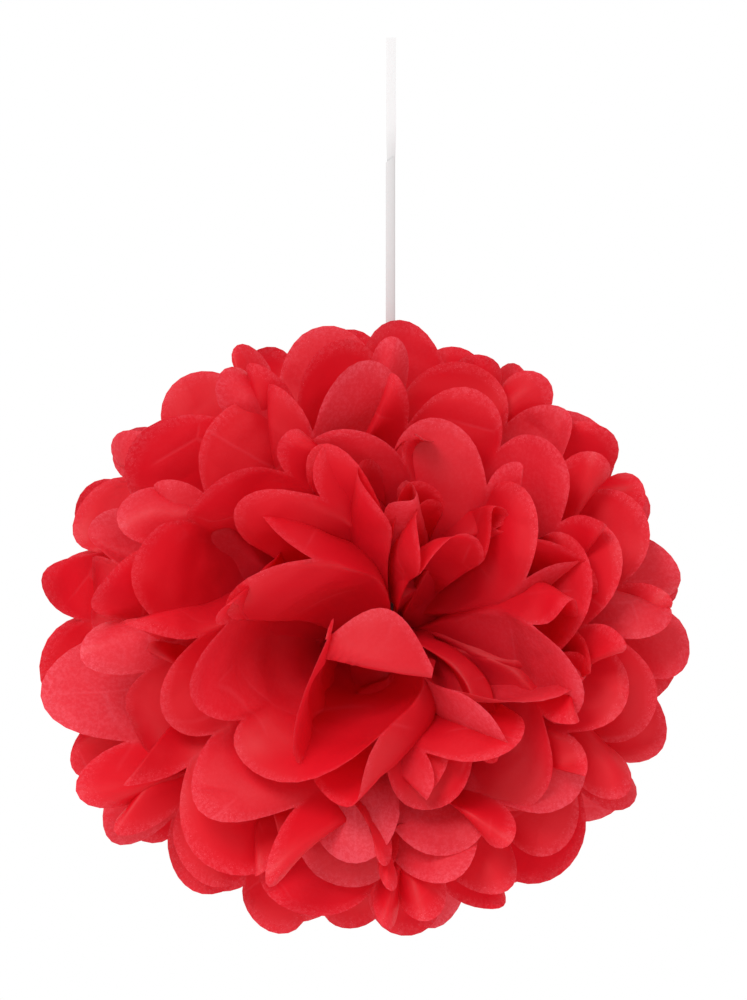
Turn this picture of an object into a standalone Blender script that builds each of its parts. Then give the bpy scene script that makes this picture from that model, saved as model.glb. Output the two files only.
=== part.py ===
"""Hanging tissue paper pom pom.

Ten scalloped tissue sheets are pleated together, pinched at the middle by a twisted wire and
fanned out, five to the front and five to the back, into a ball. A flat ribbon is looped round
the pinched waist, knotted above it, and runs up between the two halves to the end it hangs by.
The origin is that top end; +Z is up and -Y is the front, along the ball's pole axis.
"""

import math

import bmesh
import bpy
from mathutils import Vector

# Driving dimensions: metres and degrees.
TIE_DROP = 0.361  # ribbon's top end down to the middle of the waist
PETAL_REACH = 0.200  # waist to a petal's tip, half of a sheet's folded length
NOTCH_REACH = 0.172  # waist to the notch between two petals
PANELS_PER_SIDE = 12  # pleated panels of one sheet, each with a petal at both ends
SHEETS_PER_HALF = 5
FIRST_POLAR = 14.0  # innermost sheet, from the pole axis
LAST_POLAR = 80.0  # sheet beside the gap that the ribbon runs in
PLEAT_SWING = 6.0  # how far a crease stands off its sheet's own polar angle
FULL_SWING_POLAR = 30.0  # sheets nearer the pole than this swing less, in step with their girth
SHEET_THICKNESS = 0.0005
SLIT_HALF_WIDTH = 0.0045  # the fans of a sheet stay this far from the ribbon's plane
FAN_START = 0.030  # where the gathered pleats have opened into the fan
TIP_TRIM = 0.003  # a petal's flat end stands this far inside its round end
TIP_SHARES = (0.28, 0.72)  # where that flat end starts and stops across a panel

WAIST_RADIUS = 0.0062
WAIST_HALF_LENGTH = 0.008
WAIST_PITCH = 0.0012  # one pinched sheet to the next
WAIST_STAGGER = 0.0007  # each sheet turns into its fans this much nearer the middle

WIRE_RADIUS = 0.0004
WIRE_X = -0.0039
WIRE_TAIL = 0.014
WIRE_TAIL_TURNS = 3.5
WIRE_TAIL_STEPS = 30
WIRE_RING_STEPS = 28
WIRE_SPACING = 0.00006  # each twisted end off the twist's middle line, besides its own radius
WIRE_TAIL_DROP = 0.0008  # from the ring's lowest point to the start of the twist

RIBBON_WIDTH = 0.006
RIBBON_THICKNESS = 0.0004
STRAND_PITCH = 0.0007  # main strand to the short strand lying on it
KNOT_SIZE = (0.0036, 0.0022, 0.0030)  # half sizes along X, Y and Z
KNOT_WRAPS = 3
KNOT_WRAP_DEPTH = 0.10  # share of the knot's girth
LOOP_APEX = 0.015  # where the loop's two sides meet, above the waist's middle
LOOP_STEPS = 22
KNOT_RISE = 0.0190  # knot's middle above the waist's middle
SWING_FRONT_Z = -0.008
SWING_SIDE_Z = -0.020
TWIST_Z = -0.060
NOD_Z = -0.172
LEAN_Z = -0.180
TAIL_END_Z = -0.075  # cut end of the short strand
GAP = 0.0003
NARROW_TIP = 0.0003  # half width of a strip's end at a sideways hinge
SIDE_TAPER = 0.0020  # length of such an end at the swing_side hinge
LEAN_TAPER = 0.0010  # and at the ball_lean hinge
TAIL_ROOM = 0.0008  # the short strand lies off the ball_nod axis, so it is cut back this far

WAIST_Z = -TIE_DROP


def clear_scene():
    for old in list(bpy.data.objects):
        bpy.data.objects.remove(old, do_unlink=True)


def make_material(name, colour, roughness, metallic=0.0):
    material = bpy.data.materials.new(name)
    material.use_nodes = True
    shader = material.node_tree.nodes["Principled BSDF"]
    shader.inputs["Base Color"].default_value = (*colour, 1.0)
    shader.inputs["Roughness"].default_value = roughness
    shader.inputs["Metallic"].default_value = metallic
    return material


def add_object(name, points, faces, material, smooth=False):
    """One closed mesh object; its faces are turned outward."""
    mesh = bpy.data.meshes.new(name)
    mesh.from_pydata(points, [], faces)
    shape = bmesh.new()
    shape.from_mesh(mesh)
    bmesh.ops.recalc_face_normals(shape, faces=shape.faces)
    shape.to_mesh(mesh)
    shape.free()
    mesh.materials.append(material)
    if smooth:
        mesh.shade_smooth()
        mesh.set_sharp_from_angle(angle=math.radians(40))
    piece = bpy.data.objects.new(name, mesh)
    bpy.context.collection.objects.link(piece)
    return piece


# Tissue sheets: a left and a right pleated fan, joined by the strip pinched at the waist.


def pleat_columns():
    """(azimuth in radians, pleat sign, edge reach) for each mesh column of one fan, bottom to top."""
    step = math.pi / PANELS_PER_SIDE
    tip = PETAL_REACH - TIP_TRIM
    columns = []
    for panel in range(PANELS_PER_SIDE):
        sign = 1 if panel % 2 == 0 else -1
        for share, reach in ((0.0, NOTCH_REACH), (TIP_SHARES[0], tip), (TIP_SHARES[1], tip)):
            columns.append((-math.pi / 2 + (panel + share) * step, sign * (1 - 2 * share), reach))
    columns.append((math.pi / 2, 1 if PANELS_PER_SIDE % 2 == 0 else -1, NOTCH_REACH))
    return columns


def fan_point(reach, polar, azimuth, side):
    """A point of a fan. The slit keeps both fans off the plane X = 0, all the way out."""
    outward = math.hypot(reach * math.sin(polar) * math.cos(azimuth), SLIT_HALF_WIDTH)
    return Vector(
        (
            side * outward,
            -reach * math.cos(polar),
            WAIST_Z + reach * math.sin(polar) * math.sin(azimuth),
        )
    )


def waist_point(row_y, height, polar, share, side, skin):
    """A point where the pinched strip turns into a fan; share runs from 0 at the bottom to 1."""
    off = skin * SHEET_THICKNESS / 2
    nearer = WAIST_STAGGER * (abs(row_y) / WAIST_PITCH - 0.5)
    return Vector(
        (
            side * (WAIST_HALF_LENGTH - nearer + off * math.cos(polar)),
            row_y + off,
            WAIST_Z + height * (2 * share - 1),
        )
    )


def tissue_sheet(name, polar_degrees, row_y, material):
    """One sheet as a thin closed plate, swept from the left fan's edge to the right fan's."""
    polar = math.radians(polar_degrees)
    girth = math.sin(polar) / math.sin(math.radians(FULL_SWING_POLAR))
    swing = math.radians(PLEAT_SWING) * min(1.0, girth)
    height = math.sqrt(WAIST_RADIUS**2 - (abs(row_y) + SHEET_THICKNESS / 2) ** 2)
    columns = pleat_columns()
    rows = []  # across the sheet, each a list of (front skin point, back skin point)
    for side, places in ((-1, ("edge", "start", "waist")), (1, ("waist", "start", "edge"))):
        for place in places:
            row = []
            for index, (azimuth, sign, edge) in enumerate(columns):
                reach = {"edge": edge, "start": FAN_START}.get(place)
                pair = []
                for skin in (-1, 1):
                    if reach is None:
                        share = index / (len(columns) - 1)
                        pair.append(waist_point(row_y, height, polar, share, side, skin))
                    else:
                        lean = sign * swing + skin * SHEET_THICKNESS / (2 * reach)
                        pair.append(fan_point(reach, polar + lean, azimuth, side))
                row.append(pair)
            rows.append(row)
    across, along = len(rows), len(columns)
    points = [pair[skin] for row in rows for pair in row for skin in (0, 1)]

    def index_of(row, column, skin):
        return 2 * (row * along + column) + skin

    faces = []  # both skins are split along the same diagonals, so they never cross
    for row in range(across - 1):
        for column in range(along - 1):
            near, far = (row, column), (row + 1, column + 1)
            for corners in ((near, (row, column + 1), far), (near, far, (row + 1, column))):
                for skin in (0, 1):
                    loop = [index_of(r, c, skin) for r, c in corners]
                    faces.append(loop if skin else loop[::-1])
    rim = [(0, c) for c in range(along)]
    rim += [(r, along - 1) for r in range(1, across)]
    rim += [(across - 1, c) for c in range(along - 2, -1, -1)]
    rim += [(r, 0) for r in range(across - 2, 0, -1)]
    for (r0, c0), (r1, c1) in zip(rim, rim[1:] + rim[:1]):
        faces.append(
            (index_of(r0, c0, 0), index_of(r1, c1, 0), index_of(r1, c1, 1), index_of(r0, c0, 1))
        )
    return add_object(name, points, faces, material)


def tissue_sheets():
    red = make_material("red_tissue", (0.72, 0.012, 0.022), 0.6)
    spread = (LAST_POLAR - FIRST_POLAR) / (SHEETS_PER_HALF - 1)
    for number in range(SHEETS_PER_HALF):
        polar = FIRST_POLAR + spread * number
        row_y = -(SHEETS_PER_HALF - 0.5 - number) * WAIST_PITCH
        tissue_sheet(f"tissue_sheet_front_{number + 1}", polar, row_y, red)
        tissue_sheet(f"tissue_sheet_back_{number + 1}", 180.0 - polar, -row_y, red)


# Tie wire: one soft wire round the waist, its two ends twisted together below.


def tie_wire():
    ring = WAIST_RADIUS + GAP + WIRE_RADIUS
    twist = WIRE_RADIUS + WIRE_SPACING
    opening = math.asin(twist / ring)

    def tail(side):
        route = []
        for step in range(WIRE_TAIL_STEPS + 1):
            share = step / WIRE_TAIL_STEPS
            turn = WIRE_TAIL_TURNS * 2 * math.pi * share
            route.append(
                Vector(
                    (
                        WIRE_X + side * twist * math.sin(turn),
                        side * twist * math.cos(turn),
                        WAIST_Z - ring - WIRE_TAIL_DROP - WIRE_TAIL * share,
                    )
                )
            )
        return route

    loop = []
    for step in range(WIRE_RING_STEPS + 1):
        angle = opening + (2 * math.pi - 2 * opening) * step / WIRE_RING_STEPS
        loop.append(Vector((WIRE_X, ring * math.sin(angle), WAIST_Z - ring * math.cos(angle))))
    route = tail(1)[::-1] + loop + tail(-1)

    curve = bpy.data.curves.new("tie_wire", "CURVE")
    curve.dimensions = "3D"
    curve.bevel_depth = WIRE_RADIUS
    curve.bevel_resolution = 1
    curve.use_fill_caps = True
    spline = curve.splines.new("POLY")
    spline.points.add(len(route) - 1)
    for point, place in zip(spline.points, route):
        point.co = (*place, 1.0)
    curve.materials.append(make_material("tie_steel", (0.55, 0.55, 0.56), 0.35, 1.0))
    wire = bpy.data.objects.new("tie_wire", curve)
    bpy.context.collection.objects.link(wire)


# Ribbon: looped round the waist, knotted, one long strand up and one short strand beside it.


def ribbon_loop(material):
    """The bight round the waist: a teardrop band whose two sides meet under the knot."""
    radius = WAIST_RADIUS + GAP + RIBBON_THICKNESS / 2
    half_angle = math.asin(radius / LOOP_APEX)
    start = math.pi / 2 - half_angle
    outline = [(0.0, LOOP_APEX, RIBBON_THICKNESS / 2 / math.sin(half_angle))]
    for step in range(LOOP_STEPS + 1):
        angle = start + (2 * math.pi - 2 * start) * step / LOOP_STEPS
        outline.append((radius * math.sin(angle), radius * math.cos(angle), RIBBON_THICKNESS / 2))
    points = []
    for y, z, half in outline:
        out = Vector((0.0, y, z)).normalized()
        for side in (-1, 1):
            for skin in (-1, 1):
                middle = Vector((side * RIBBON_WIDTH / 2, y, WAIST_Z + z))
                points.append(middle + out * skin * half)
    faces = []
    size = len(outline)
    for here in range(size):
        a, b = 4 * here, 4 * ((here + 1) % size)
        for first, second in ((0, 1), (1, 3), (3, 2), (2, 0)):
            faces.append((a + first, a + second, b + second, b + first))
    add_object("ribbon_loop", points, faces, material, smooth=True)


def ribbon_knot(material):
    """A flattened bead with three shallow wraps, where the ribbon crosses itself."""
    rings, around = 9, 16
    centre = Vector((0.0, 0.0, WAIST_Z + KNOT_RISE))
    points = [centre + Vector((0, 0, -KNOT_SIZE[2]))]
    for ring in range(1, rings):
        tilt = math.pi * ring / rings
        wrap = 1.0 - KNOT_WRAP_DEPTH * (1.0 + math.cos(2 * KNOT_WRAPS * tilt)) / 2
        for step in range(around):
            turn = 2 * math.pi * step / around
            points.append(
                centre
                + Vector(
                    (
                        KNOT_SIZE[0] * wrap * math.sin(tilt) * math.cos(turn),
                        KNOT_SIZE[1] * wrap * math.sin(tilt) * math.sin(turn),
                        -KNOT_SIZE[2] * math.cos(tilt),
                    )
                )
            )
    points.append(centre + Vector((0, 0, KNOT_SIZE[2])))
    last = len(points) - 1
    faces = []
    for step in range(around):
        after = (step + 1) % around
        faces.append((0, 1 + after, 1 + step))
        faces.append((last, last - around + step, last - around + after))
        for ring in range(rings - 2):
            low, high = 1 + ring * around, 1 + (ring + 1) * around
            faces.append((low + step, low + after, high + after, high + step))
    add_object("ribbon_knot", points, faces, material, smooth=True)


def ribbon_strip(name, top, bottom, y, material, top_taper=0.0, bottom_taper=0.0):
    """A flat straight length of ribbon; a tapered end leaves room for a sideways hinge."""
    wide = RIBBON_WIDTH / 2
    left = []
    if top_taper:
        left += [(NARROW_TIP, top), (wide, top - top_taper)]
    else:
        left += [(wide, top)]
    if bottom_taper:
        left += [(wide, bottom + bottom_taper), (NARROW_TIP, bottom)]
    else:
        left += [(wide, bottom)]
    outline = [(-x, z) for x, z in left] + left[::-1]
    size = len(outline)
    half = RIBBON_THICKNESS / 2
    points = [(x, y + skin * half, z) for skin in (-1, 1) for x, z in outline]
    faces = [list(range(size)), list(range(2 * size - 1, size - 1, -1))]
    for here in range(size):
        after = (here + 1) % size
        faces.append((here, after, size + after, size + here))
    add_object(name, points, faces, material)


def ribbon_strands(material):
    half_gap = GAP / 2
    foot = WAIST_Z + KNOT_RISE + KNOT_SIZE[2] + GAP
    main = (
        ("ribbon_pinned_end", 0.0, SWING_FRONT_Z, 0.0, 0.0),
        ("ribbon_top_bend", SWING_FRONT_Z, SWING_SIDE_Z, 0.0, SIDE_TAPER),
        ("ribbon_upper", SWING_SIDE_Z, TWIST_Z, SIDE_TAPER, 0.0),
        ("ribbon_middle", TWIST_Z, NOD_Z, 0.0, 0.0),
        ("ribbon_lower_bend", NOD_Z, LEAN_Z, 0.0, LEAN_TAPER),
        ("ribbon_lower", LEAN_Z, foot - half_gap, LEAN_TAPER, 0.0),
    )
    for name, top, bottom, top_taper, bottom_taper in main:
        first = top if name == "ribbon_pinned_end" else top - half_gap
        ribbon_strip(name, first, bottom + half_gap, 0.0, material, top_taper, bottom_taper)

    tail = (
        ("ribbon_tail_upper", TAIL_END_Z, NOD_Z + TAIL_ROOM, 0.0, 0.0),
        ("ribbon_tail_bend", NOD_Z - TAIL_ROOM, LEAN_Z + half_gap, 0.0, LEAN_TAPER),
        ("ribbon_tail_lower", LEAN_Z - half_gap, foot, LEAN_TAPER, 0.0),
    )
    for name, top, bottom, top_taper, bottom_taper in tail:
        ribbon_strip(name, top, bottom, -STRAND_PITCH, material, top_taper, bottom_taper)


def main():
    clear_scene()
    tissue_sheets()
    tie_wire()
    white = make_material("white_ribbon", (0.86, 0.86, 0.87), 0.35)
    ribbon_loop(white)
    ribbon_knot(white)
    ribbon_strands(white)


main()
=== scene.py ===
"""A red tissue paper pom pom hanging on its white satin ribbon."""

import math
from types import SimpleNamespace

import bpy
import numpy as np
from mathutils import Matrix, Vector, noise


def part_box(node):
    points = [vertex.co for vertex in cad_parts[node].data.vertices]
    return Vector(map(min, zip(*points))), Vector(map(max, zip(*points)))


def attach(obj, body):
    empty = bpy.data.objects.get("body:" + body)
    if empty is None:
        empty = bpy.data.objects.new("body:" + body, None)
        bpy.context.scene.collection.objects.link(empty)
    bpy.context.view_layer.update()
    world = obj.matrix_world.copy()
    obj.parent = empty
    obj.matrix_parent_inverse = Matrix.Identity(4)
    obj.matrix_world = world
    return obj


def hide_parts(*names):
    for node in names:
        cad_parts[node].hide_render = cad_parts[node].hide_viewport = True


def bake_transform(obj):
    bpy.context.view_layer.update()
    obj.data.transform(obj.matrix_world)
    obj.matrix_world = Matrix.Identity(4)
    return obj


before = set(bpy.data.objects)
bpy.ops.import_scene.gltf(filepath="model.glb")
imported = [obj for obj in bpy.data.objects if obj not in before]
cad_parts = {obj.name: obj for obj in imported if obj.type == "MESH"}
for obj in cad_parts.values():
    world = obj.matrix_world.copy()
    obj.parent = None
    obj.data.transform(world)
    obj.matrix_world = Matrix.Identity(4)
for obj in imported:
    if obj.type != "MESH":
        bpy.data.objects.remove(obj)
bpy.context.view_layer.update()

# Camera. It looks level along +Y, straight down the ball's pole axis, from a little over two
# metres, and takes in the whole ribbon above the ball.

VIEW_DISTANCE = 2.2
VIEW_HEIGHT = 0.615  # what the frame takes in at the ribbon, top to bottom
VIEW_CENTRE = Vector((-0.0108, 0.0, -0.2845))
SENSOR_WIDTH = 36.0

camera_data = bpy.data.cameras.new("studio_camera")
camera_data.sensor_width = SENSOR_WIDTH
camera_data.lens = SENSOR_WIDTH * VIEW_DISTANCE / VIEW_HEIGHT
camera = bpy.data.objects.new("studio_camera", camera_data)
camera.location = VIEW_CENTRE + Vector((0.0, -VIEW_DISTANCE, 0.0))
camera.rotation_euler = (math.radians(90.0), 0.0, 0.0)
bpy.context.scene.collection.objects.link(camera)
bpy.context.scene.camera = camera

# Ribbon. One 6 mm satin ribbon goes down from its cut top end to the waist, round it, and back
# up as a short strand that lies on the long one and ends in a slanting cut. Both strands are
# made in lengths, one after another.

RIBBON_WIDTH = 0.006
RIBBON_THICKNESS = 0.00016
RIBBON_COLUMNS = 7
ROW_GAP = 0.0015
CUP_DEPTH = 0.00025  # a turned ribbon is a little hollow along its middle
THIN_EDGE = 0.25  # the selvedge's thickness as a share of the middle's
STRAND_GAP = 0.0006  # from the long strand to the short one lying on its front
STRAND_SHIFT = -0.0012  # and how far the short one lies to one side of it
SHIFT_EASE = 0.012  # above the knot, both come in over this height
FACE_TURN = math.radians(32.0)  # how far the doubled ribbon is turned from face on
TURN_TOP, TURN_BOTTOM = -0.050, -0.078  # the long strand makes that turn between these heights
SQUARE_TOP, SQUARE_BOTTOM = -0.200, -0.260  # and lies square to the knot again below these
TAIL_TOP = -0.075
CUT_SLANT, CUT_EASE = 0.0022, 0.006  # the short strand's slanting cut, and where its rows are level
KNOT_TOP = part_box("ribbon_knot")[1].z + 0.0003  # the strands stop just clear of the knot
LONG_ROUTE = [
    (0.0, 0.0, 0.0),
    (0.0, 0.0, -0.008),
    (0.0, 0.0, -0.020),
    (0.0, 0.0, -0.044),
    (0.0, 0.0, -0.060),
    (0.0, 0.0, -0.130),
    (0.0, 0.0, -0.172),
    (0.0, 0.0, -0.180),
    (0.0, 0.0, -0.230),
    (0.0, 0.0, -0.290),
    (0.0, 0.0, KNOT_TOP),
]


def smooth_step(low, high, value):
    """0 at low, 1 at high, and eased in between."""
    share = min(1.0, max(0.0, (value - low) / (high - low)))
    return share * share * (3.0 - 2.0 * share)


def ribbon_turn(z):
    """How far the ribbon's face is turned from the front at a height."""
    turned = smooth_step(-TURN_TOP, -TURN_BOTTOM, -z)
    squared = smooth_step(-SQUARE_TOP, -SQUARE_BOTTOM, -z)
    return FACE_TURN * turned * (1.0 - squared)


def along_ribbon(top, bottom):
    """Points along the long strand's own line, row by row, between two heights."""
    count = max(8, math.ceil((top - bottom) / ROW_GAP))
    known = [-place[2] for place in LONG_ROUTE]
    path = []
    for i in range(count + 1):
        z = top + (bottom - top) * i / count
        x, y = (float(np.interp(-z, known, [place[axis] for place in LONG_ROUTE])) for axis in (0, 1))
        path.append(Vector((x, y, z)))
    return path


satin = bpy.data.materials.new("satin_ribbon")
satin.use_nodes = True
satin_nodes, satin_links = satin.node_tree.nodes, satin.node_tree.links
satin_shader = satin_nodes["Principled BSDF"]
satin_shader.inputs["Roughness"].default_value = 0.5
satin_coords = satin_nodes.new("ShaderNodeTexCoord")
satin_weave = satin_nodes.new("ShaderNodeTexWave")
satin_weave.wave_type = "BANDS"
satin_weave.bands_direction = "Z"
satin_weave.inputs["Scale"].default_value = 900.0
satin_weave.inputs["Distortion"].default_value = 0.6
satin_tone = satin_nodes.new("ShaderNodeValToRGB")
satin_tone.color_ramp.elements[0].color = (0.60, 0.60, 0.61, 1.0)
satin_tone.color_ramp.elements[1].color = (0.70, 0.70, 0.70, 1.0)
satin_bump = satin_nodes.new("ShaderNodeBump")
satin_bump.inputs["Strength"].default_value = 0.25
satin_bump.inputs["Distance"].default_value = 0.00005
satin_links.new(satin_coords.outputs["Object"], satin_weave.inputs["Vector"])
satin_links.new(satin_weave.outputs["Fac"], satin_tone.inputs["Fac"])
satin_links.new(satin_tone.outputs["Color"], satin_shader.inputs["Base Color"])
satin_links.new(satin_weave.outputs["Fac"], satin_bump.inputs["Height"])
satin_links.new(satin_bump.outputs["Normal"], satin_shader.inputs["Normal"])


def ribbon_length(name, top, bottom, forward, sideways, slant=0.0):
    """A flat length of ribbon between two heights, shallowly cupped, with rounded edges."""
    path = along_ribbon(top, bottom)
    points, faces = [], []
    for place in path:
        turn = ribbon_turn(place.z)
        wide = Vector((math.cos(turn), math.sin(turn), 0.0))
        face = Vector((math.sin(turn), -math.cos(turn), 0.0))
        eased = smooth_step(0.0, SHIFT_EASE, place.z - KNOT_TOP)
        middle = place + face * forward * eased + wide * sideways * eased
        for skin in (1, -1):
            for i in range(RIBBON_COLUMNS):
                share = 2.0 * i / (RIBBON_COLUMNS - 1) - 1.0
                edge = math.sqrt(max(0.0, 1.0 - abs(share) ** 6))
                cup = CUP_DEPTH * (1.0 - share * share) * turn / FACE_TURN
                off = skin * RIBBON_THICKNESS / 2 * max(THIN_EDGE, edge) + cup
                rise = slant * share * (1.0 - smooth_step(0.0, CUT_EASE, top - place.z))
                here = middle + Vector((0.0, 0.0, rise))
                points.append(here + wide * share * RIBBON_WIDTH / 2 + face * off)
    ring = 2 * RIBBON_COLUMNS
    order = list(range(RIBBON_COLUMNS)) + list(range(ring - 1, RIBBON_COLUMNS - 1, -1))
    for row in range(len(path) - 1):
        for i in range(ring):
            a, b = order[i], order[(i + 1) % ring]
            faces.append((row * ring + a, row * ring + b, (row + 1) * ring + b, (row + 1) * ring + a))
    for start, step in ((0, 1), ((len(path) - 1) * ring, -1)):
        for i in range(RIBBON_COLUMNS - 1):
            front, back = start + i, start + RIBBON_COLUMNS + i
            faces.append((front, back, back + 1, front + 1)[::step])
    mesh = bpy.data.meshes.new(name)
    mesh.from_pydata(points, [], faces)
    mesh.shade_smooth()
    mesh.set_sharp_from_angle(angle=math.radians(50))
    mesh.materials.append(satin)
    piece = bpy.data.objects.new(name, mesh)
    bpy.context.scene.collection.objects.link(piece)
    return piece, path


# where one length ends and the next begins, and a pair of heights given for each length
TOP_END, SIDE_END, FREE_END, NOD_END = -0.0138, -0.0270, -0.1640, -0.1760
SWINGING, SWAYING, TWISTING = (-0.003, -0.013), (-0.015, -0.025), (-0.030, -0.145)
NODDING, LEANING = (-0.168, -0.176), (-0.1765, -0.1835)

# name, top, bottom, the body above, the body below, a pair of heights, the CAD nodes it replaces
LONG_LENGTHS = (
    ("ribbon_top_end", 0.0, TOP_END, "hung_end", "top_bend", SWINGING, ["ribbon_pinned_end"]),
    ("ribbon_side_bend", TOP_END, SIDE_END, "top_bend", "upper_ribbon", SWAYING, ["ribbon_top_bend"]),
    (
        "ribbon_free_length",
        SIDE_END,
        FREE_END,
        "upper_ribbon",
        "middle_ribbon",
        TWISTING,
        ["ribbon_upper", "ribbon_middle"],
    ),
    ("ribbon_nod_bend", FREE_END, NOD_END, "middle_ribbon", "lower_bend", NODDING, ["ribbon_lower_bend"]),
    ("ribbon_inner_length", NOD_END, KNOT_TOP, "lower_bend", "ball", LEANING, ["ribbon_lower"]),
)
TAIL_LENGTHS = (
    (
        "tail_free_length",
        TAIL_TOP,
        FREE_END,
        "upper_ribbon",
        "middle_ribbon",
        TWISTING,
        ["ribbon_tail_upper"],
    ),
    ("tail_nod_bend", FREE_END, NOD_END, "middle_ribbon", "lower_bend", NODDING, ["ribbon_tail_bend"]),
    ("tail_inner_length", NOD_END, KNOT_TOP, "lower_bend", "ball", LEANING, ["ribbon_tail_lower"]),
)
for lengths, forward, sideways in (
    (LONG_LENGTHS, 0.0, 0.0),
    (TAIL_LENGTHS, STRAND_GAP, STRAND_SHIFT),
):
    for name, top, bottom, above, below, (start, end), nodes in lengths:
        slant = CUT_SLANT if name == "tail_free_length" else 0.0
        piece, path = ribbon_length(name, top, bottom, forward, sideways, slant)
        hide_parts(*nodes)
        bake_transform(piece)


for name in ("ribbon_loop", "ribbon_knot"):
    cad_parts[name].data.materials.clear()
    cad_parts[name].data.materials.append(satin)

# Tie wire. Soft steel florist's wire goes once round the middle of the pleated stack, pulls it in
# to a narrow waist and is twisted on itself. The petals hide it once they are opened.

steel = bpy.data.materials.new("tie_steel")
steel.use_nodes = True
steel_shader = steel.node_tree.nodes["Principled BSDF"]
steel_shader.inputs["Metallic"].default_value = 1.0
steel_grain = steel.node_tree.nodes.new("ShaderNodeTexNoise")
steel_grain.inputs["Scale"].default_value = 1800.0
steel_tone = steel.node_tree.nodes.new("ShaderNodeValToRGB")
steel_tone.color_ramp.elements[0].color = (0.42, 0.42, 0.43, 1.0)
steel_tone.color_ramp.elements[1].color = (0.66, 0.66, 0.67, 1.0)
steel_rough = steel.node_tree.nodes.new("ShaderNodeMapRange")
steel_rough.inputs["To Min"].default_value = 0.25
steel_rough.inputs["To Max"].default_value = 0.45
steel.node_tree.links.new(steel_grain.outputs["Fac"], steel_tone.inputs["Fac"])
steel.node_tree.links.new(steel_tone.outputs["Color"], steel_shader.inputs["Base Color"])
steel.node_tree.links.new(steel_grain.outputs["Fac"], steel_rough.inputs["Value"])
steel.node_tree.links.new(steel_rough.outputs["Result"], steel_shader.inputs["Roughness"])
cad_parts["tie_wire"].data.materials.clear()
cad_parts["tie_wire"].data.materials.append(steel)

# Tissue sheets. Ten sheets of glazed red tissue are pleated together into twelve panels, trimmed
# round at both ends, pinched at the waist and fanned out, then lifted apart one by one.

sheet_low, sheet_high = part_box("tissue_sheet_front_5")
WAIST = Vector((0.0, 0.0, (sheet_low.z + sheet_high.z) / 2))
PANELS = 24  # petals round one sheet: twelve pleated panels, each with two ends
FAN_PETALS = PANELS // 2  # one sheet opens as a right fan and a left fan
STEP = math.radians(360.0 / PANELS)
PANEL_WIDTH = 0.058
TIP_RADIUS = PANEL_WIDTH / 2
REACH = 0.195  # waist to a petal's tip; the waist is tied off the stack's middle
REACH_LEFT, REACH_DOWN = 0.0175, 0.0035  # so the petals reach further to the left and down
REACH_WIDE = 0.0045  # and the ball is a little wider than it is high
REACH_START, REACH_END = 0.004, 0.226  # the paper is shaped between these distances from the waist
RIM_BAND = 0.009  # paler band along the cut edge
COLUMNS = 14  # mesh columns across one panel
ROWS = 40  # mesh rows from the waist to the rim
PATH_ROWS = 70  # places along the paper where its shape is worked out
# the paper's polar angle at the waist, half way out and at the rim, innermost sheet first
SHEET_BENDS = (
    (10.0, 14.0, 66.0),
    (34.0, 30.0, 80.0),
    (50.0, 44.0, 86.0),
    (64.0, 60.0, 90.0),
    (78.0, 78.0, 91.0),
)
# distances from the waist between which each of these comes in
FLATTENS = (REACH_START, 0.050)  # gathered paper opens to its full width
CREASES_SHIFT = (0.04, 0.12)  # creases leave their even places
CREASES_FALL = (0.03, 0.14)  # and lie over to one side
FANS_OVERLAP = (0.06, 0.14)  # the two fans reach past each other
SLIT_CLOSES = (0.05, 0.10)  # and the slit between them ends
CRUMPLES = (0.03, 0.12)
PAINTED_SHEEN_RANGE = (0.08, 0.17)  # painted light: a petal's painted sheen and painted light-through come in over these distances from the waist
SLIT = 0.0045  # from the middle to each fan, where the waist is pinched between them
STRETCH = 0.97  # how nearly flat a panel can be pulled
SLACK = 0.47  # how far a panel with paper to spare bows out
END_DEPTH = 0.3  # a fan's two cut ends are pleated less deeply
TIP_START, TIP_LENGTH = 0.140, 0.055  # a tip curls from this far out, over this length
FOLDED_END = 0.038  # how much of a folded petal's end is folded over
FOLD_RADIUS = 0.003
FOLD_STRETCH = 1.1  # a folded petal is drawn out a little wider
FOLD_SWELL = 0.006  # and rounds out towards the front

# Glazed tissue lets much of the light through. Fibres, cloudiness and flecks pale it a little, most
# of all along the cut rim, and creased places catch the light, a painted highlight. Chosen petals are
# painted paler towards their ends, a painted sheen and painted light-through.
tissue = bpy.data.materials.new("glazed_tissue")
tissue.use_nodes = True
t_nodes, t_links = tissue.node_tree.nodes, tissue.node_tree.links
paper = t_nodes["Principled BSDF"]
paper.inputs["Specular IOR Level"].default_value = 0.35


def tissue_node(kind, wires=(), **sockets):
    """A node of the tissue with its socket values and the wires that come into it."""
    node = t_nodes.new(kind)
    for name, value in sockets.items():
        node.inputs[name.replace("_", " ")].default_value = value
    for name, output in wires:
        t_links.new(output, node.inputs[name])
    return node


def tissue_range(source, low, high, to_low, to_high):
    """source eased from one range of values to another."""
    node = tissue_node("ShaderNodeMapRange", [("Value", source)])
    node.interpolation_type = "SMOOTHSTEP"
    for name, value in (("From Min", low), ("From Max", high), ("To Min", to_low), ("To Max", to_high)):
        node.inputs[name].default_value = value
    return node.outputs["Result"]


def tissue_math(operation, first, second):
    """A sum on two values, each a number or another node's output."""
    node = t_nodes.new("ShaderNodeMath")
    node.operation = operation
    for socket, value in zip(node.inputs, (first, second)):
        if isinstance(value, float):
            socket.default_value = value
        else:
            t_links.new(value, socket)
    return node.outputs["Value"]


def tissue_mark(name):
    """A value stored on the paper's own points."""
    node = t_nodes.new("ShaderNodeAttribute")
    node.attribute_name = name
    return node.outputs["Fac"]


def tissue_mix(share, first, second):
    """A colour between two, by share."""
    node = t_nodes.new("ShaderNodeMix")
    node.data_type = "RGBA"
    t_links.new(share, node.inputs["Factor"])
    for name, value in (("A", first), ("B", second)):
        socket = [i for i in node.inputs if i.name == name and i.type == "RGBA"][0]
        socket.default_value = value
    return [o for o in node.outputs if o.type == "RGBA"][0]


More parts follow.
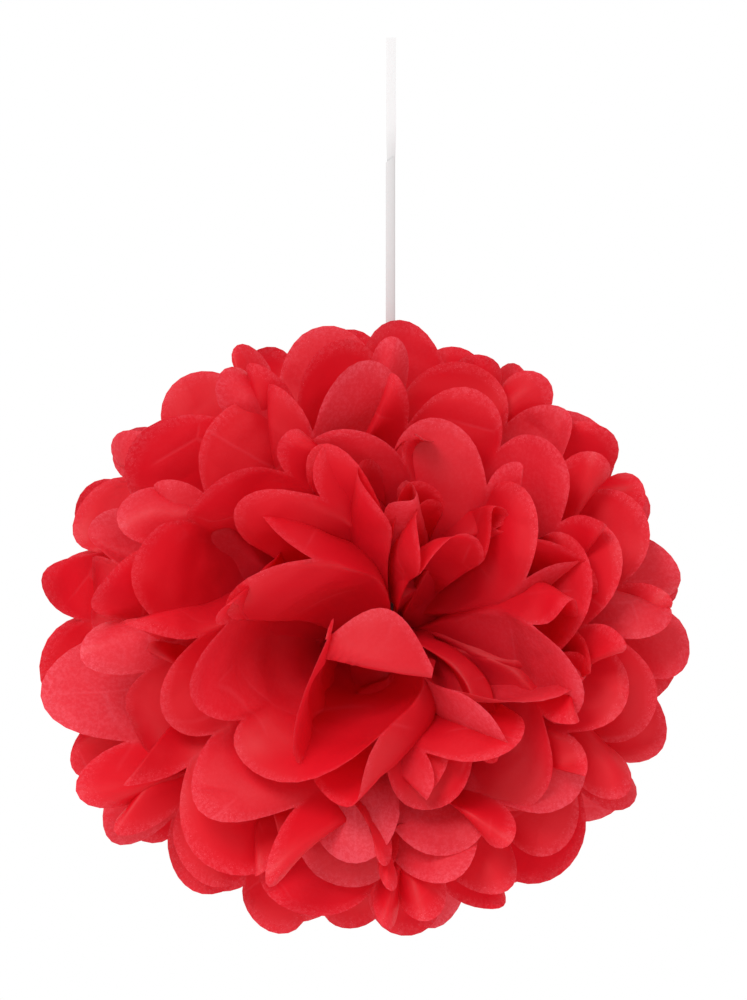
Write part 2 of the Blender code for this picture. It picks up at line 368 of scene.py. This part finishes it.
RED = (0.70, 0.0055, 0.018, 1.0)
PALE_RED = (0.80, 0.070, 0.105, 1.0)
LIT_RED = (0.88, 0.012, 0.026, 1.0)  # what light that has come through the paper looks like
LIT_PALE = (0.95, 0.12, 0.15, 1.0)
place = tissue_node("ShaderNodeTexCoord").outputs["Object"]
fibre = tissue_node("ShaderNodeTexNoise", [("Vector", place)], Scale=420.0, Detail=3.0, Roughness=0.8)
cloud = tissue_node("ShaderNodeTexNoise", [("Vector", place)], Scale=26.0, Detail=1.0)
fleck = tissue_node("ShaderNodeTexNoise", [("Vector", place)], Scale=1500.0, Detail=0.0)
crease = tissue_node("ShaderNodeTexVoronoi", [("Vector", place)], Scale=15.0)
crease.feature = "DISTANCE_TO_EDGE"
fold_line = tissue_range(crease.outputs["Distance"], 0.0, 0.022, 1.0, 0.0)
creased = tissue_range(cloud.outputs["Fac"], 0.46, 0.66, 0.0, 1.0)
line = tissue_math("MULTIPLY", fold_line, creased)

fibres = tissue_range(fibre.outputs["Fac"], 0.35, 0.70, 0.0, 1.0)
clouds = tissue_range(cloud.outputs["Fac"], 0.40, 0.75, 0.0, 1.0)
rim = tissue_mark("rim")
rim_pale = tissue_math("MULTIPLY", rim, tissue_range(fibres, 0.0, 1.0, 0.10, 0.55))
# painted sheen and light-through on the petals marked pale, broken up by the fibres
petal_painted_sheen = tissue_math("MULTIPLY", tissue_mark("pale"), tissue_range(fibres, 0.0, 1.0, 0.55, 1.0))
pale = tissue_math("ADD", rim_pale, petal_painted_sheen)
# painted highlight along the crease lines
pale = tissue_math("ADD", pale, tissue_math("MULTIPLY", line, 0.20))
pale = tissue_math("ADD", pale, tissue_math("MULTIPLY", tissue_math("MULTIPLY", clouds, fibres), 0.07))
specks = tissue_range(fleck.outputs["Fac"], 0.735, 0.76, 0.0, 1.0)
pale = tissue_math("ADD", pale, tissue_math("MULTIPLY", specks, tissue_range(rim, 0.0, 0.6, 0.0, 0.9)))
pale = tissue_math("MINIMUM", pale, 1.0)

facet = tissue_math("MULTIPLY", crease.outputs["Distance"], creased)
t_links.new(tissue_mix(pale, RED, PALE_RED), paper.inputs["Base Color"])
t_links.new(tissue_range(cloud.outputs["Fac"], 0.35, 0.7, 0.50, 0.64), paper.inputs["Roughness"])
bump = tissue_node("ShaderNodeBump", [("Height", facet)], Strength=1.0, Distance=0.006)
t_links.new(bump.outputs["Normal"], paper.inputs["Normal"])

glow = tissue_node("ShaderNodeBsdfTranslucent", [("Color", tissue_mix(pale, LIT_RED, LIT_PALE))])
through = tissue_node("ShaderNodeMixShader")
through.inputs["Fac"].default_value = 0.38
t_links.new(paper.outputs["BSDF"], through.inputs[1])
t_links.new(glow.outputs["BSDF"], through.inputs[2])
t_links.new(through.outputs["Shader"], t_nodes["Material Output"].inputs["Surface"])


def ramp(low, high, value):
    """The same easing for whole rows of values."""
    share = np.clip((value - low) / (high - low), 0.0, 1.0)
    return share * share * (3.0 - 2.0 * share)


def fan_width(reach):
    """How wide a panel is at a distance along the paper: gathered at the waist, flat further out."""
    return PANEL_WIDTH * ramp(*FLATTENS, reach)


def spread_over(values, columns):
    """One value per crease, eased from each crease to the next, at every mesh column."""
    places = np.linspace(0.0, len(values) - 1.0, columns)
    near = np.minimum(places.astype(int), len(values) - 2)
    share = (1.0 - np.cos(np.pi * (places - near))) / 2.0
    return values[near] * (1.0 - share) + values[near + 1] * share


def soften(rows, times):
    """Rounds the creases off: a short moving average along each row that keeps both ends."""
    for _ in range(times):
        inner = (rows[:, :-2] + 2.0 * rows[:, 1:-1] + rows[:, 2:]) / 4.0
        rows = np.concatenate((rows[:, :1], inner, rows[:, -1:]), axis=1)
    return rows


def paper_path(reaches, base, middle, rim):
    """(height up the pole, distance from it, polar angle) along the paper for every column."""
    share = reaches / REACH
    near = base + (middle - base) * np.clip(share / 0.5, 0.0, 1.0)
    far = (rim - middle) * np.clip((share - 0.45) / 0.55, 0.0, 1.2) ** 1.4
    angle = np.radians(near + far)
    gaps = np.diff(reaches, axis=0)
    halfway = (angle[1:] + angle[:-1]) / 2.0
    first = np.zeros((1, angle.shape[1]))
    up = np.concatenate((first, np.cumsum(np.cos(halfway) * gaps, axis=0)))
    out = np.concatenate((first, np.cumsum(np.sin(halfway) * gaps, axis=0))) + REACH_START
    return up, out, angle


def crumple(width, reaches, seed):
    """Soft dents and a few sharper folds in the paper, as a height at every place on it."""
    rows = np.zeros((len(reaches), len(width)))
    for r, reach in enumerate(reaches[:, 0]):
        for c, across in enumerate(width):
            place = Vector((across, reach, seed * 0.37))
            soft = noise.noise(place * 22.0) + 0.35 * noise.noise(place * 55.0)
            fold = abs(noise.noise(place * 34.0 + Vector((7.1, 3.3, 0.0))))
            rows[r, c] = 0.0042 * soft - 0.0046 * fold
    return rows * ramp(*CRUMPLES, reaches)


def draw_fan(left, seed, petals):
    """What differs from crease to crease and from petal to petal in one fan."""
    chance = np.random.default_rng(seed)
    creases = FAN_PETALS + 1
    fan = SimpleNamespace()
    fan.shift = chance.uniform(-0.28, 0.28, creases)  # along the fan, in petals
    fan.shift[[0, -1]] = 0.0
    fan.depth = chance.uniform(0.8, 1.0, creases)
    fan.depth[[0, -1]] = END_DEPTH
    fan.fall = np.where(chance.random(creases) < 0.5, -1.0, 1.0) * chance.uniform(0.75, 1.0, creases)
    fan.fall[0::2] = 0.0
    azimuth = np.linspace(0.0, math.pi, creases) + math.pi * left
    fan.middle = chance.uniform(-5.0, 5.0, creases) + 4.0 * np.sin(2.0 * azimuth + seed)
    fan.rim = fan.middle + chance.uniform(-18.0, 18.0, creases)
    fan.swell = np.where(chance.random(FAN_PETALS) < 0.5, -1.0, 1.0)
    fan.bend = chance.uniform(-0.022, 0.022, FAN_PETALS)
    fan.trim = chance.uniform(-0.003, 0.002, FAN_PETALS)
    # how much painted sheen and painted light-through each petal gets; about a quarter get some
    fan.pale = np.where(chance.random(FAN_PETALS) < 0.25, chance.uniform(0.2, 0.6, FAN_PETALS), 0.0)
    fan.past = chance.uniform(-1.0, 6.0, 2)
    for petal, changes in petals.items():
        fan.middle[petal : petal + 2] += changes.get("middle", 0.0)
        fan.rim[petal : petal + 2] += changes.get("rim", 0.0)
        fan.swell[petal] = changes.get("swell", fan.swell[petal])
        fan.bend[petal] = changes.get("bend", fan.bend[petal])
        fan.pale[petal] = changes.get("pale", fan.pale[petal])
        for crease, value in changes.get("fall", {}).items():
            fan.fall[crease] = value
        if "past" in changes:
            fan.past[0 if petal == 0 else 1] = changes["past"]
    fan.swell[(fan.fall[:-1] > 0.0) | (fan.fall[1:] < 0.0)] = 1.0  # under a fallen crease, away from it
    return fan


def lay_pleats(fan, reaches, out):
    """(place along the fan in petals, height off the path, rounded edge) at every column."""
    wide = fan_width(reaches)
    pitch = np.minimum(out[:, ::COLUMNS] * STEP, wide * STRETCH)
    half_depth = np.minimum(0.5 * np.sqrt(wide**2 - pitch**2), out[:, ::COLUMNS] * 0.85)
    lean = fan.fall[None, :] * (wide * STRETCH - pitch) * ramp(*CREASES_FALL, reaches)
    rise = np.sqrt(np.maximum(wide**2 - (pitch + np.abs(lean)) ** 2, 0.0))
    ridge = (np.arange(FAN_PETALS + 1) % 2 == 1)[None, :]
    height = np.where(ridge, np.minimum(rise, 2.0 * half_depth) - half_depth, -half_depth)
    height = height * fan.depth[None, :]
    place = np.arange(FAN_PETALS + 1)[None, :] + fan.shift[None, :] * ramp(*CREASES_SHIFT, reaches)
    place = place + lean / np.maximum(pitch, 0.001)

    across = (1.0 - np.cos(np.pi * np.arange(COLUMNS + 1) / COLUMNS)) / 2.0
    sideways, lift, edge = [], [], []
    for p in range(FAN_PETALS):
        steps = across[None, :] if p == FAN_PETALS - 1 else across[None, :-1]
        bow = 4.0 * steps * (1.0 - steps)
        run = (place[:, p + 1 : p + 2] - place[:, p : p + 1]) * pitch[:, p : p + 1]
        climb = height[:, p + 1 : p + 2] - height[:, p : p + 1]
        chord = np.maximum(np.hypot(run, climb), 1e-5)
        slack = fan.swell[p] * SLACK * np.sqrt(np.maximum(wide**2 - chord**2, 0.0))
        u = place[:, p : p + 1] * pitch[:, p : p + 1] + run * steps - climb / chord * slack * bow
        v = height[:, p : p + 1] + climb * steps + run / chord * slack * bow
        v = v + fan.bend[p] * np.sqrt(bow) * np.clip((reaches - TIP_START) / TIP_LENGTH, 0.0, None) ** 2
        sideways.append(u / np.maximum(pitch[:, p : p + 1], 0.001))
        lift.append(v)
        edge.append((TIP_RADIUS + fan.trim[p]) * np.sqrt(bow[0]))
    sideways = soften(np.concatenate(sideways, axis=1), 4)
    lift = soften(np.concatenate(lift, axis=1), 4)
    return sideways, lift, np.concatenate(edge)


def fold_over(points, reaches, petal, side, height, slope, degrees):
    """Draws a petal out flat towards the front and folds its round end back towards the pole.

    side and height place the middle of the fold from the waist, slope is how the fold leans.
    """
    start = REACH - FOLDED_END
    onward = np.array((side, -math.sqrt(start**2 - side**2 - height**2), height)) / start
    along = np.array((math.cos(math.radians(slope)), 0.0, math.sin(math.radians(slope))))
    along = along - onward * (along @ onward)
    along = along / np.linalg.norm(along)
    back = np.cross(onward, along)
    back = back * np.sign(back[2])
    across = np.arange(points.shape[1]) / COLUMNS - petal
    wide = (np.clip(across, 0.0, 1.0) - 0.5)[None, :] * fan_width(reaches) * FOLD_STRETCH
    past = np.maximum(reaches - start, 0.0)
    turn = math.radians(degrees)
    bent = np.minimum(past / FOLD_RADIUS, turn)
    straight = past - FOLD_RADIUS * bent
    swell = FOLD_SWELL * (1.0 - (2.0 * wide / PANEL_WIDTH) ** 2) * ramp(-0.06, 0.01, reaches - start)
    out = np.minimum(reaches, start) + FOLD_RADIUS * np.sin(bent) + straight * math.cos(turn) + swell
    over = FOLD_RADIUS * (1.0 - np.cos(bent)) + straight * math.sin(turn)
    flat = out[..., None] * onward + over[..., None] * back + wide[..., None] * along
    share = (ramp(-0.9, 0.0, across)[None, :] * ramp(0.02, 0.10, reaches))[..., None]
    return points * (1.0 - share) + flat * share


def make_fan(bends, left, seed, petals):
    """One fan's (points, rim marks, pale marks), each by [row, column]."""
    fan = draw_fan(left, seed, petals)
    columns = FAN_PETALS * COLUMNS + 1
    reaches = np.linspace(REACH_START, REACH_END, PATH_ROWS)[:, None]
    base, middle, rim = bends
    middles = middle + spread_over(fan.middle, columns)[None, :]
    rims = rim + spread_over(fan.rim, columns)[None, :]
    up, out, angle = paper_path(reaches, base, middles, rims)
    sideways, lift, edge = lay_pleats(fan, reaches, out)
    lift = lift + crumple(np.linspace(0.0, FAN_PETALS * PANEL_WIDTH, columns), reaches, seed)

    low, high = (90.0, 270.0) if left else (-90.0, 90.0)
    past = ramp(*FANS_OVERLAP, reaches) * fan.past[None, :]
    first, last = low - past[:, :1], high + past[:, 1:]
    turn = np.radians(first + (last - first) * sideways / FAN_PETALS)
    outward = out - np.cos(angle) * lift
    x = outward * np.cos(turn)
    slit = SLIT * (1.0 - ramp(*SLIT_CLOSES, reaches))
    own_side = -1.0 if left else 1.0
    x = np.where(slit > 0.0, own_side * np.hypot(x, slit), x)
    shaped = np.stack((x, -(up + np.sin(angle) * lift), outward * np.sin(turn)), axis=-1)
    for petal, changes in petals.items():
        if "over" in changes:
            shaped = fold_over(shaped, reaches, petal, *changes["over"])

    azimuth = np.radians(np.linspace(low, high, columns))
    full = REACH + REACH_WIDE * np.cos(2.0 * azimuth)
    full = full - REACH_LEFT * np.cos(azimuth) - REACH_DOWN * np.sin(azimuth)
    to_rim = full - TIP_RADIUS + edge
    rows = np.linspace(0.0, 1.0, ROWS + 1)
    points = np.empty((ROWS + 1, columns, 3))
    rim_marks = np.empty((ROWS + 1, columns))
    for c in range(columns):
        wanted = REACH_START + (to_rim[c] - REACH_START) * rows
        for axis in range(3):
            points[:, c, axis] = np.interp(wanted, reaches[:, 0], shaped[:, c, axis])
        rim_marks[:, c] = ramp(RIM_BAND, 0.0, to_rim[c] - wanted)
    # each petal's painted sheen and light-through, softened across the columns and grown towards its end
    pale = soften(np.append(np.repeat(fan.pale, COLUMNS), fan.pale[-1])[None, :], 3)
    return points, rim_marks, pale * ramp(*PAINTED_SHEEN_RANGE, REACH * rows[:, None])


def make_sheet(name, node, bends, half, seed, petals=()):
    """One sheet: two fans joined at the pinched waist; half is 1 for the front, -1 for the back."""
    shapes = dict(petals)
    right = {petal: shape for petal, shape in shapes.items() if petal < FAN_PETALS}
    left = {petal - FAN_PETALS: shape for petal, shape in shapes.items() if petal >= FAN_PETALS}
    fans = (make_fan(bends, False, seed, right), make_fan(bends, True, seed + 50, left))
    points = np.concatenate([fan[0].reshape(-1, 3) for fan in fans])
    points[:, 1] *= half
    points[:, 2] += WAIST.z
    columns = fans[0][0].shape[1]
    fan_size = columns * (ROWS + 1)
    faces = []
    for start in (0, fan_size):
        for r in range(ROWS):
            for c in range(columns - 1):
                a = start + r * columns + c
                faces.append((a, a + 1, a + columns + 1, a + columns))
    for c in range(columns - 1):
        far = fan_size + columns - 1 - c
        faces.append((c + 1, c, far, far - 1))
    mesh = bpy.data.meshes.new(name)
    mesh.from_pydata(points.tolist(), [], faces)
    mesh.shade_smooth()
    for mark, index in (("rim", 1), ("pale", 2)):
        values = np.concatenate([fan[index].reshape(-1) for fan in fans])
        mesh.attributes.new(mark, "FLOAT", "POINT").data.foreach_set("value", values)
    mesh.materials.append(tissue)
    sheet = bpy.data.objects.new(name, mesh)
    bpy.context.scene.collection.objects.link(sheet)
    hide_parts(node)
    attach(sheet, "ball")


# The front petals that stand out, sheet by sheet. Petals count from the bottom up the right side
# (0 to 11) and down the left side (12 to 23). "middle" and "rim" open the petal by degrees half
# way out and at its end, "fall" lays one of its fan's creases over, "swell" is the side its slack
# bows to, "bend" curls its tip by metres, "past" carries the fan's end further round by degrees,
# "over" folds its round end back over the pole, and "pale" is how much painted sheen and painted
# light-through the petal gets.
SHAPED_PETALS = {
    1: {
        0: {"middle": 8.0, "rim": 12.0, "fall": {1: 0.9}, "bend": -0.010},
        3: {"middle": 8.0, "rim": 4.0, "fall": {3: -0.9}},
        5: {"middle": 10.0, "rim": 6.0, "fall": {5: -0.7}},
        6: {"middle": 26.0, "rim": -2.0, "fall": {7: 1.0}, "swell": 1.0, "bend": -0.006, "pale": 0.0},
        9: {"middle": 14.0, "rim": -18.0, "fall": {9: 0.4}},
        11: {"middle": 20.0, "rim": -22.0, "fall": {11: 0.3}},
        12: {"middle": 20.0, "rim": -22.0, "fall": {1: -0.3}},
        14: {"middle": 14.0, "rim": -8.0, "fall": {3: -0.8}},
        19: {"middle": 10.0, "rim": 8.0, "fall": {7: -1.0}, "swell": -1.0, "bend": 0.014, "pale": 0.15},
        22: {"middle": 8.0, "rim": 2.0},
        23: {
            "middle": -2.0,
            "rim": -50.0,
            "fall": {11: -0.5},
            "swell": 1.0,
            "bend": 0.0,
            "pale": 0.1,
            "over": (-0.009, -0.020, -10.0, 106.0),
        },
    },
    2: {
        1: {"rim": 4.0, "fall": {1: -0.9}, "pale": 0.55},
        2: {"rim": 6.0, "fall": {3: 1.0}, "swell": -1.0, "pale": 0.1},
        7: {"middle": 5.0, "rim": -6.0, "fall": {7: -1.0}, "swell": 1.0, "pale": 0.1},
        16: {"middle": 10.0, "rim": -20.0, "fall": {5: 1.0}, "swell": 1.0, "pale": 0.0},
        20: {"middle": 2.0, "rim": 8.0, "fall": {9: 1.0}, "swell": -1.0, "bend": 0.016, "pale": 0.15},
        23: {"rim": 4.0, "fall": {11: -1.0}, "swell": 1.0, "bend": -0.004, "pale": 0.9},
    },
    3: {
        1: {"rim": 4.0, "fall": {1: -1.0}, "pale": 0.5},
        3: {"rim": 2.0, "fall": {3: -1.0}, "swell": -1.0, "pale": 0.55},
        17: {"middle": 8.0, "rim": -12.0, "fall": {5: -1.0}, "pale": 0.0},
        23: {"middle": -4.0, "rim": 10.0, "fall": {11: -1.0}, "bend": -0.004, "pale": 0.3},
    },
    4: {
        16: {"fall": {5: 1.0}, "pale": 0.5},
        18: {"fall": {7: 1.0}, "pale": 0.6},
    },
    5: {
        11: {"middle": 3.0, "rim": -1.0, "fall": {11: -1.0}, "bend": 0.0, "pale": 0.1, "past": 7.0},
        12: {"middle": 2.0, "rim": 4.0, "fall": {1: 1.0}, "pale": 0.2, "past": -3.0},
    },
}
for number, bends in enumerate(SHEET_BENDS, start=1):
    front = SHAPED_PETALS[number]
    make_sheet(f"front_sheet_{number}", f"tissue_sheet_front_{number}", bends, 1, 100 + number, front)
    make_sheet(f"back_sheet_{number}", f"tissue_sheet_back_{number}", bends, -1, 200 + number)

# Studio. A white room light all round, a large round soft light high at the front left, and a
# pale floor, a little lit up, well below the hanging ball.

world = bpy.data.worlds.new("white_studio")
world.use_nodes = True
w_nodes, w_links = world.node_tree.nodes, world.node_tree.links
backdrop = w_nodes["Background"]
backdrop.inputs["Color"].default_value = (1.0, 1.0, 1.0, 1.0)
backdrop.inputs["Strength"].default_value = 1.0
room = w_nodes.new("ShaderNodeBackground")
room.inputs["Color"].default_value = (1.0, 0.98, 0.97, 1.0)
room.inputs["Strength"].default_value = 0.80
seen = w_nodes.new("ShaderNodeLightPath")
either = w_nodes.new("ShaderNodeMixShader")
w_links.new(seen.outputs["Is Camera Ray"], either.inputs["Fac"])
w_links.new(room.outputs["Background"], either.inputs[1])
w_links.new(backdrop.outputs["Background"], either.inputs[2])
w_links.new(either.outputs["Shader"], w_nodes["World Output"].inputs["Surface"])
bpy.context.scene.world = world
bpy.context.scene.view_settings.view_transform = "Standard"

KEY_PLACE = Vector((-0.7, -2.3, 0.9))
key = bpy.data.lights.new("key_softbox", "AREA")
key.shape = "DISK"
key.size = 1.0
key.energy = 38.0
key_lamp = bpy.data.objects.new("key_softbox", key)
key_lamp.location = KEY_PLACE
key_lamp.rotation_euler = (WAIST - KEY_PLACE).to_track_quat("-Z", "Y").to_euler()
bpy.context.scene.collection.objects.link(key_lamp)

FLOOR_HALF, FLOOR_Z = 4.8, -1.3
corners = ((-1, -1), (1, -1), (1, 1), (-1, 1))
floor_mesh = bpy.data.meshes.new("studio_floor")
floor_mesh.from_pydata([(x * FLOOR_HALF, y * FLOOR_HALF, FLOOR_Z) for x, y in corners], [], [(0, 1, 2, 3)])
floor_paint = bpy.data.materials.new("pale_floor")
floor_paint.use_nodes = True
floor_shader = floor_paint.node_tree.nodes["Principled BSDF"]
floor_shader.inputs["Base Color"].default_value = (0.9, 0.9, 0.9, 1.0)
floor_shader.inputs["Roughness"].default_value = 0.8
floor_shader.inputs["Emission Color"].default_value = (1.0, 1.0, 1.0, 1.0)
floor_shader.inputs["Emission Strength"].default_value = 0.24
floor_mesh.materials.append(floor_paint)
floor = bpy.data.objects.new("studio_floor", floor_mesh)
bpy.context.scene.collection.objects.link(floor)
